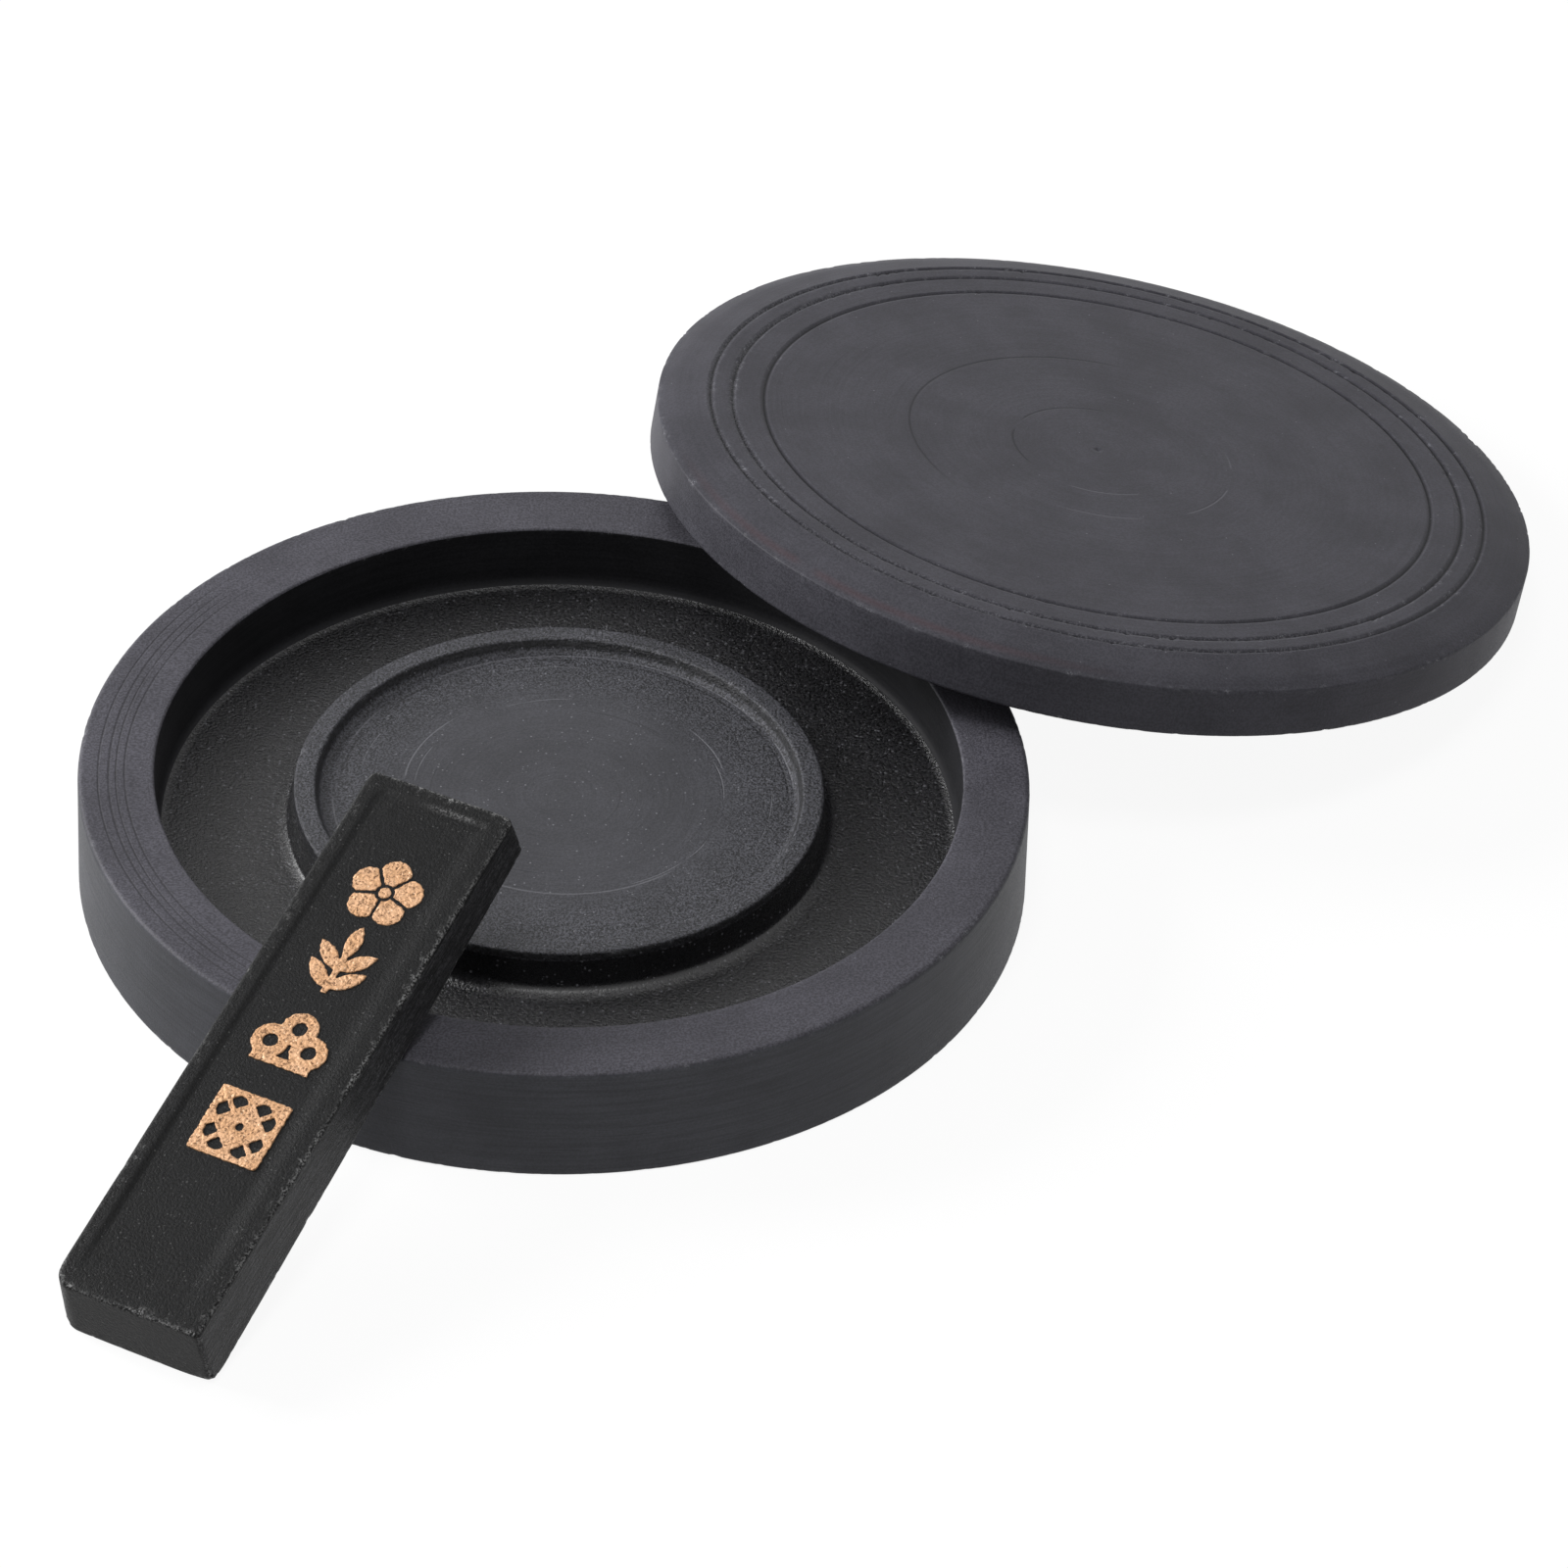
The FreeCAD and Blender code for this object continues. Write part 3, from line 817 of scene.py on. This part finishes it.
STICK_SPACING = 0.33 * MM
STICK_EDGE = 0.35 * MM
PANEL_CORNER = 1.6 * MM

# How much the mould's sides open out, for each unit of depth
DRAFT = 0.064

# The slope at the panel's right is this many times as wide as the others
RIGHT_SLOPE = 4

# Radii of the upright corners at the left and the right
FOOT_CORNERS = (2.6 * MM, 0.6 * MM)
TIP_CORNERS = (1.0 * MM, 1.2 * MM)


def stick_turn(sizes):
    """How the stick is turned from its own axes to where it lies."""
    wedge = math.atan((sizes.foot_thickness - sizes.tip_thickness) / sizes.length)
    return Matrix.Rotation(sizes.heading, 4, "Z") @ Matrix.Rotation(wedge - sizes.lean, 4, "Y")


def box_bar(half, spacing):
    """A bar about the origin with even, nearly square faces."""
    bm = new_piece()
    bmesh.ops.create_cube(bm, size=2)
    bmesh.ops.scale(bm, vec=half, verts=bm.verts[:])
    for axis in range(3):
        runs = [edge for edge in bm.edges
                if abs(edge.verts[0].co[axis] - edge.verts[1].co[axis]) > half[axis]]
        cuts = round(2 * half[axis] / spacing)
        bmesh.ops.subdivide_edges(bm, edges=runs, cuts=cuts, use_grid_fill=True)
    return bm


def rounded(spot, half, radius):
    """A point of a bar's surface moved in so that the bar's edges are rounded."""
    limits = [half[axis] - radius for axis in range(3)]
    core = Vector([min(limit, max(-limit, part)) for limit, part in zip(limits, spot)])
    out = spot - core
    return core + out.normalized() * max(abs(part) for part in out)


def round_plan(spot, half):
    """Round the bar's upright corners, seen from above."""
    left, right = FOOT_CORNERS if spot.x < 0 else TIP_CORNERS
    radius = left if spot.y > 0 else right
    across = abs(spot.y) - half.y + radius
    along = abs(spot.x) - half.x + radius
    if across > 0 and along > 0:
        shrink = max(across, along) / math.hypot(across, along)
        spot.x = math.copysign(half.x - radius + along * shrink, spot.x)
        spot.y = math.copysign(half.y - radius + across * shrink, spot.y)


def stick_wear(spot, half):
    """How a point of the bar is worn: its edge's radius, how nicked and how rubbed it is, and how worn the
    patch round it is. The long left edge is nearly whole."""
    distances = sorted(half[axis] - abs(spot[axis]) for axis in range(3))
    from_edge = distances[0] + distances[1]
    corner = smooth(4.5 * MM, 0, from_edge + distances[2])
    patch = smooth(-0.2, 0.5, ragged(spot, 8 * MM, seed=2.3))
    edge_radius = STICK_EDGE + (0.15 * patch + 0.6 * corner * (0.4 + 0.6 * patch)) * MM
    nick = smooth(0.1, 0.6, ragged(spot, 0.9 * MM, seed=7.7))
    bite = nick * smooth(1.5 * MM, 0, from_edge) * (0.15 + 0.6 * patch + 0.8 * corner)
    rub = smooth(0.6 * MM, 0, from_edge) * (0.4 + 0.6 * patch)
    if spot.y > half.y - 0.9 * MM and spot.x > 4 * MM - half.x:
        bite *= 0.3
        rub *= 0.15
    return edge_radius, bite, rub, patch


def nibble(spot, half, bite):
    """Move a nicked point in: toward the bar's long axis, and back from its nearer end."""
    spot -= (spot - Vector((spot.x, 0, 0))).normalized() * bite * 0.22 * MM
    spot.x -= math.copysign(bite * 0.25 * MM, spot.x) * smooth(2 * MM, 0, half.x - abs(spot.x))


def sink_panel(spot, half, sizes):
    """Sink a point of the top face into the panel, which runs out toward the foot. Returns how near the
    point is to the slope at the panel's tip end, from 0 to 1, which is where a highlight is painted."""
    panel_x = half.x - sizes.panel_border
    panel_y = half.y - sizes.panel_border
    corner_x = abs(spot.x) - (panel_x - PANEL_CORNER)
    corner_y = abs(spot.y) - (panel_y - PANEL_CORNER)
    if corner_x > 0 and corner_y > 0:
        inside = PANEL_CORNER - math.hypot(corner_x, corner_y)
    else:
        inside = min(panel_x - abs(spot.x), panel_y - abs(spot.y))
    at_right = spot.y < 0 and panel_y + spot.y < panel_x - abs(spot.x)
    at_tip = panel_x - spot.x < panel_y - abs(spot.y)
    slope = sizes.panel_ramp * (RIGHT_SLOPE if at_right else 1)
    from_foot = smooth(0, 14 * MM, spot.x + half.x)
    spot.z -= sizes.panel_depth * from_foot * smooth(0, slope, inside)
    return smooth(0.5 * MM, 0, abs(inside - slope / 2)) if at_tip else 0


def taper(spot, half, sizes):
    """Give the even bar its mould's draft and its thickness, with its foot's top edge at x = 0."""
    thinning = (sizes.foot_thickness - sizes.tip_thickness) / sizes.length
    depth = (half.z - spot.z) / (2 * half.z)
    thickness = sizes.foot_thickness - thinning * (spot.x + half.x)
    spot.x += math.copysign(DRAFT * depth * thickness, spot.x) * smooth(0, half.x, abs(spot.x))
    spot.y *= 1 + DRAFT * depth * thickness / half.y
    spot.z = -depth * thickness
    spot.x += half.x


def shape_stick(sizes, worn):
    """The moulded bar on its own axes, its foot's top edge at x = 0 and its top face at z = 0."""
    half = Vector((sizes.length / 2, sizes.width / 2, sizes.foot_thickness / 2))
    bm = box_bar(half, STICK_SPACING)
    place = bm.verts.layers.float_vector["place"]
    wear_and_highlight = bm.verts.layers.float["wear_and_highlight"]
    for vert in bm.verts:
        spot = vert.co.copy()
        edge_radius, bite, rub, patch = stick_wear(spot, half) if worn else (STICK_EDGE, 0, 0, 0)
        moved = rounded(spot, half, edge_radius)
        round_plan(moved, half)
        nibble(moved, half, bite)
        if spot.z > half.z - 0.01 * MM:
            # Painted highlight: the slope at the panel's tip end is marked like a rubbed edge, so it takes
            # the light bare ink colour.
            rub = max(rub, 0.6 * patch * sink_panel(moved, half, sizes))
        taper(moved, half, sizes)
        vert.co = moved
        vert[place] = moved / MM
        vert[wear_and_highlight] = min(1, 2.6 * bite + rub)
    return bm


def ink_material(name, base, bare_ink, line_depth, line_tone, specular):
    """Moulded ink: near black, satin, with fine grain and drag lines."""
    material, tree, place = new_material(name)
    grain = use(tree, "Stone grain", place, {"Grain size": 0.35})
    lines = use(tree, "Drag lines", place, {"Spacing": 0.45})["Height"]
    specks = use(tree, "Bright specks", place, {"Cell": 0.5, "Dot": 0.17, "Share": 0.45})["Mask"]
    # The worn edges also hold the painted highlight along the panel's slope at the tip end.
    chips_and_highlight = use(tree, "Worn edges and highlight", place, {"Grain size": 0.28})["Bare"]
    mottle = ramp(tree, grain["Mottle"], 0.3, 0.7, 0.85, 1.2)
    grains = ramp(tree, grain["Height"], 0.38, 0.66, 0.3, 2.4)
    streak = ramp(tree, lines, 0.40, 0.62, 1 - line_tone, 1 + 3 * line_tone)
    tone = product(tree, mottle, grains, streak)
    bare = most(tree, product(tree, chips_and_highlight, 0.9), product(tree, specks, 0.2))
    colour = blend(tree, 1.0, grey(base), join(tree, tone, tone, tone), "MULTIPLY")
    colour = blend(tree, bare, colour, grey(bare_ink))
    roughness = maths(tree, "ADD", 0.42, ramp(tree, grain["Height"], 0.3, 0.7, -0.05, 0.08))
    normal = bump(tree, lines, line_depth)
    normal = bump(tree, grain["Height"], 0.14 * MM, normal=normal)
    surface(tree, colour, roughness, normal, specular)
    return material


# The rough sides scatter this many times as much light as the top
SIDE_TONE = 4.6

# The order of the stick's materials
SMOOTH, ROUGH = range(2)


class INKSTONE_OT_mould_stick(Operator):
    """Mould the ink stick with its sunk panel and lay it across the dish's rim"""
    bl_idname = "inkstone.mould_stick"
    bl_label = "Mould the Ink Stick"

    def execute(self, context):
        sizes = context.scene.ink_stick
        finish = context.scene.ink_finish
        unworn = shape_stick(sizes, False)
        matrix = lay_on(unworn, stick_turn(sizes), "ink_stick")
        unworn.free()
        bm = shape_stick(sizes, True)
        for face in bm.faces:
            spot = face.calc_center_median()
            on_top_or_foot = spot.z > -0.6 * MM or spot.x < 0
            face.material_index = SMOOTH if on_top_or_foot else ROUGH
        bmesh.ops.recalc_face_normals(bm, faces=bm.faces[:])
        move(bm, matrix)
        side_ink = [SIDE_TONE * part for part in finish.ink]
        top = ink_material("Moulded ink top", finish.ink, finish.bare_ink,
                           line_depth=0.01 * MM, line_tone=0.05, specular=0.13)
        sides = ink_material("Moulded ink sides", side_ink, finish.bare_ink,
                             line_depth=0.16 * MM, line_tone=0.45, specular=0.15)
        finish_piece(bm, "moulded_stick", "stick", [top, sides], "ink_stick")
        return {"FINISHED"}


# The gold motifs

GOLD_SPACING = 0.11 * MM
MOTIFS = ("gold_blossom", "gold_leaf_spray", "gold_cloud", "gold_square_plaque")


def gold_material(finish):
    """Grainy gold powder paint with dark pits and painted glints."""
    material, tree, place = new_material("Gold powder paint")
    grains = clouds(tree, place, 3.2, 3.0, 0.7)
    patches = ramp(tree, clouds(tree, place, 0.5, 2.0), 0.35, 0.65)
    pits = ramp(tree, grains, 0.49, 0.38)
    specks = use(tree, "Bright specks", place, {"Cell": 0.35, "Dot": 0.16, "Share": 0.35})["Mask"]
    colour = blend(tree, patches, grey(finish.gold), grey(finish.light_gold))
    colour = blend(tree, pits, colour, grey(finish.gold_pit))
    # Painted glints on some of the grains
    colour = blend(tree, product(tree, specks, 0.6), colour, grey(finish.painted_gold_glint))
    roughness = ramp(tree, grains, 0.3, 0.7, 0.6, 0.4)
    normal = bump(tree, grains, 0.10 * MM)
    surface(tree, colour, roughness, normal, 0.4, 0.3)
    return material


class INKSTONE_OT_paint_gold(Operator):
    """Lay the grainy gold relief of the four motifs on the stick's panel"""
    bl_idname = "inkstone.paint_gold"
    bl_label = "Paint the Gold Motifs"

    def execute(self, context):
        sizes = context.scene.ink_stick
        matrix = stick_turn(sizes)
        paint = gold_material(context.scene.ink_finish)
        for node in MOTIFS:
            self.lay_motif(context, node, matrix, paint)
        return {"FINISHED"}

    def lay_motif(self, context, node, matrix, paint):
        """Turn one motif's clean plates into a lumpy layer of paint with ragged edges."""
        bm = bmesh.new()
        bm.from_mesh(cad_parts[node].data)
        bmesh.ops.remove_doubles(bm, verts=bm.verts[:], dist=MERGE_REACH)
        move(bm, matrix.inverted())
        flat = make_mesh("flat", bm)
        draft = add_object("draft", flat)
        remesh = draft.modifiers.new("Even faces", "REMESH")
        remesh.mode = "VOXEL"
        remesh.voxel_size = GOLD_SPACING
        shaped = draft.evaluated_get(context.evaluated_depsgraph_get())
        bm = new_piece()
        bm.from_mesh(shaped.to_mesh())
        shaped.to_mesh_clear()
        bpy.data.objects.remove(draft)
        bpy.data.meshes.remove(flat)
        place = bm.verts.layers.float_vector["place"]
        floor = min(vert.co.z for vert in bm.verts)
        for vert in bm.verts:
            spot = vert.co
            lump = ragged(spot, 0.28 * MM, seed=3.0) + 0.6 * ragged(spot, 0.6 * MM, seed=8.0)
            above = smooth(0, 0.25 * MM, spot.z - floor)
            sideways = Vector((ragged(spot, 0.5 * MM, seed=1.0), ragged(spot, 0.5 * MM, seed=9.0), 0))
            vert[place] = spot / MM
            vert.co = spot + sideways * 0.12 * MM + UP * above * lump * 0.09 * MM
        move(bm, matrix)
        name = node.replace("gold_", "gilt_")
        finish_piece(bm, name, "stick", [paint], node)


# The stage

FLOOR_HALF_WIDTH = 6
FLOOR_DROP = 0.03 * MM
FLOOR_PALENESS = 0.11
FLOOR_TO_EYE = 0.92
LAMP_AIM = Vector((0.03, 0, 0))

# The photograph's camera: where it stands, how far it looks down and how far it is rolled, in degrees
CAMERA_SPOT = (30.879 * MM, -625.238 * MM, 503.371 * MM)
CAMERA_DIP = 37.982
CAMERA_ROLL = 2.8216


def strength_for(tree, eye, pieces):
    """One strength for the eye and for reflections, and another for the light that falls on the pieces."""
    path = add(tree, "ShaderNodeLightPath").outputs
    seen = most(tree, path["Is Camera Ray"], path["Is Glossy Ray"], path["Is Transmission Ray"])
    return maths(tree, "ADD", product(tree, seen, eye - pieces), pieces)


class INKSTONE_OT_set_stage(Operator):
    """Lay the floor, hang the lamps and set up the camera"""
    bl_idname = "inkstone.set_stage"
    bl_label = "Set the Stage"

    def execute(self, context):
        stage = context.scene.ink_stage
        self.lay_floor(stage)
        self.set_daylight(context, stage)
        self.hang_lamp("Key", (-0.86, 0.26, 0.50), size=0.5, power=stage.key_power)
        self.hang_lamp("Top", (-0.05, -0.25, 0.97), size=0.3, power=stage.top_power)
        self.set_camera(context, stage)
        context.scene.view_settings.view_transform = "Standard"
        return {"FINISHED"}

    def lay_floor(self, stage):
        """A wide pale floor just under the pieces, white to the eye but for the object's shadow."""
        bm = bmesh.new()
        bmesh.ops.create_grid(bm, x_segments=1, y_segments=1, size=FLOOR_HALF_WIDTH)
        bmesh.ops.translate(bm, verts=bm.verts[:], vec=(0, 0, -FLOOR_DROP))
        mesh = make_mesh("floor", bm)
        material = bpy.data.materials.new("Pale floor")
        tree = empty_tree(material)
        lit = add(tree, "ShaderNodeBsdfDiffuse", {"Color": grey(FLOOR_PALENESS)}).outputs[0]
        strength = strength_for(tree, FLOOR_TO_EYE, stage.floor_glow)
        glow = add(tree, "ShaderNodeEmission", {"Color": grey(1.0), "Strength": strength})
        both = add(tree, "ShaderNodeAddShader", {0: lit, 1: glow.outputs[0]}).outputs[0]
        add(tree, "ShaderNodeOutputMaterial", {"Surface": both})
        mesh.materials.append(material)
        floor = add_object("floor", mesh)

    def set_daylight(self, context, stage):
        """Soft light from all round, white to the eye and in reflections."""
        world = bpy.data.worlds.new("Soft white room")
        context.scene.world = world
        tree = empty_tree(world)
        strength = strength_for(tree, 1.0, stage.daylight)
        light = add(tree, "ShaderNodeBackground", {"Color": grey(1.0), "Strength": strength}).outputs[0]
        add(tree, "ShaderNodeOutputWorld", {"Surface": light})

    def hang_lamp(self, name, spot, size, power):
        """A square soft lamp aimed at the dish."""
        lamp = bpy.data.lights.new(name, "AREA")
        lamp.shape = "SQUARE"
        lamp.size = size
        lamp.energy = power
        hung = add_object(name, lamp)
        hung.location = spot
        hung.rotation_euler = (LAMP_AIM - hung.location).to_track_quat("-Z", "Y").to_euler()

    def set_camera(self, context, stage):
        """The photograph's view: from the front, looking down, with a small roll."""
        camera = bpy.data.cameras.new("camera")
        camera.sensor_width = 36
        camera.lens = stage.lens
        camera.clip_start = 0.01
        view = add_object("camera", camera)
        eye = Matrix.Translation(CAMERA_SPOT)
        tilt = Matrix.Rotation(math.radians(90 - CAMERA_DIP), 4, "X")
        roll = Matrix.Rotation(math.radians(CAMERA_ROLL), 4, "Z")
        view.matrix_world = eye @ tilt @ roll
        context.scene.camera = view


# The add-on

GROUP_BUILDERS = (build_turning_lines, build_stone_grain, build_bright_specks, build_worn_edges,
                  build_arc_line, build_drag_lines)
OPERATORS = (INKSTONE_OT_turn_dish, INKSTONE_OT_turn_lid, INKSTONE_OT_mould_stick,
             INKSTONE_OT_paint_gold, INKSTONE_OT_set_stage)
SETTINGS = {"ink_dish": DishSizes, "ink_lid": LidSizes, "ink_stick": StickSizes,
            "ink_finish": Finish, "ink_stage": Stage}


class INKSTONE_PT_sidebar(Panel):
    """Lists the steps that make the ink stone and its stick"""
    bl_idname = "INKSTONE_PT_sidebar"
    bl_label = "Ink Stone"
    bl_space_type = "VIEW_3D"
    bl_region_type = "UI"
    bl_category = "Ink Stone"

    def draw(self, context):
        for operator in OPERATORS:
            self.layout.operator(operator.bl_idname)
        for name in SETTINGS:
            group = getattr(context.scene, name)
            box = self.layout.box()
            for prop in group.bl_rna.properties:
                if prop.identifier not in ("rna_type", "name"):
                    box.prop(group, prop.identifier)


CLASSES = (*SETTINGS.values(), *OPERATORS, INKSTONE_PT_sidebar)


def register():
    for made in CLASSES:
        bpy.utils.register_class(made)
    for name, kind in SETTINGS.items():
        setattr(bpy.types.Scene, name, PointerProperty(type=kind))


def unregister():
    for name in SETTINGS:
        delattr(bpy.types.Scene, name)
    for made in reversed(CLASSES):
        bpy.utils.unregister_class(made)


def main():
    """Make every piece in turn."""
    register()
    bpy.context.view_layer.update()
    for build in GROUP_BUILDERS:
        build()
    bpy.ops.inkstone.turn_dish()
    bpy.ops.inkstone.turn_lid()
    bpy.ops.inkstone.mould_stick()
    bpy.ops.inkstone.paint_gold()
    bpy.ops.inkstone.set_stage()


if __name__ == "__main__":
    main()
